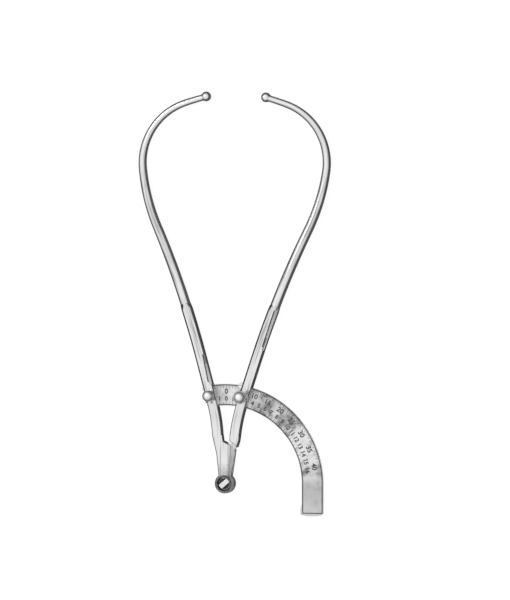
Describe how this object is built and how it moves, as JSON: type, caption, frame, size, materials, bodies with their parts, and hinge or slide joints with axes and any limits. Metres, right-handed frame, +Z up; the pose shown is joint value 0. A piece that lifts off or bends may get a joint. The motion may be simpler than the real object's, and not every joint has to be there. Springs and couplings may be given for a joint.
{
  "type": "pelvimeter",
  "caption": "Pelvimeter: bent steel arms with ball tips, hinged at the foot, with a quadrant scale that slides through the moving arm and is held by a clamp screw.",
  "frame": {"origin": "on the hinge axis, in the flat back face that the instrument lies on", "axes": "+Y runs from the hinge to the tips along the middle line, +X points to the moving arm and the scale, +Z is up, to the front with the screw heads, when the instrument lies on its back"},
  "size_m": [0.1625, 0.3444, 0.0278],
  "materials": {
    "polished_steel": "polished",
    "turned_steel": "turned and polished",
    "scale_steel": "satin, engraved and black filled",
    "plain_steel": "plain",
    "brass": "plain"
  },
  "bodies": {
    "fixed_arm": {"left_arm": "polished_steel", "left_tip_ball": "polished_steel", "hinge_screw": "turned_steel", "hinge_spring_washer": "plain_steel", "front_joint_washer": "brass", "back_joint_washer": "brass", "hinge_nut": "plain_steel", "scale_band": "scale_steel", "scale_screw": "turned_steel", "scale_steady_pin": "plain_steel"},
    "moving_arm": {"right_arm": "polished_steel", "right_tip_ball": "polished_steel", "clamp_bush": "turned_steel", "index_pointer": "turned_steel", "index_pointer_screw": "turned_steel"},
    "shoe": {"clamp_shoe": "plain_steel"},
    "screw": {"clamp_screw": "turned_steel"}
  },
  "joints": [
    {"name": "arm_swing", "type": "hinge", "parent": "fixed_arm", "child": "moving_arm", "pos_m": [0, 0, 0.0042], "axis": [0, 0, -1], "range_deg": [-7.5, 73]},
    {"name": "shoe_lift", "type": "slide", "parent": "moving_arm", "child": "shoe", "axis": [0, 0, 1], "range_m": [0, 0.0005]},
    {"name": "clamp_turn", "type": "hinge", "parent": "shoe", "child": "screw", "pos_m": [0.01393, 0.0712, 0.01], "axis": [0, 0, 1], "range_deg": [0, 360]}
  ],
  "couplings": [
    {"joint": "clamp_turn", "follows": "shoe_lift", "rad_per_m": 12566}
  ]
}
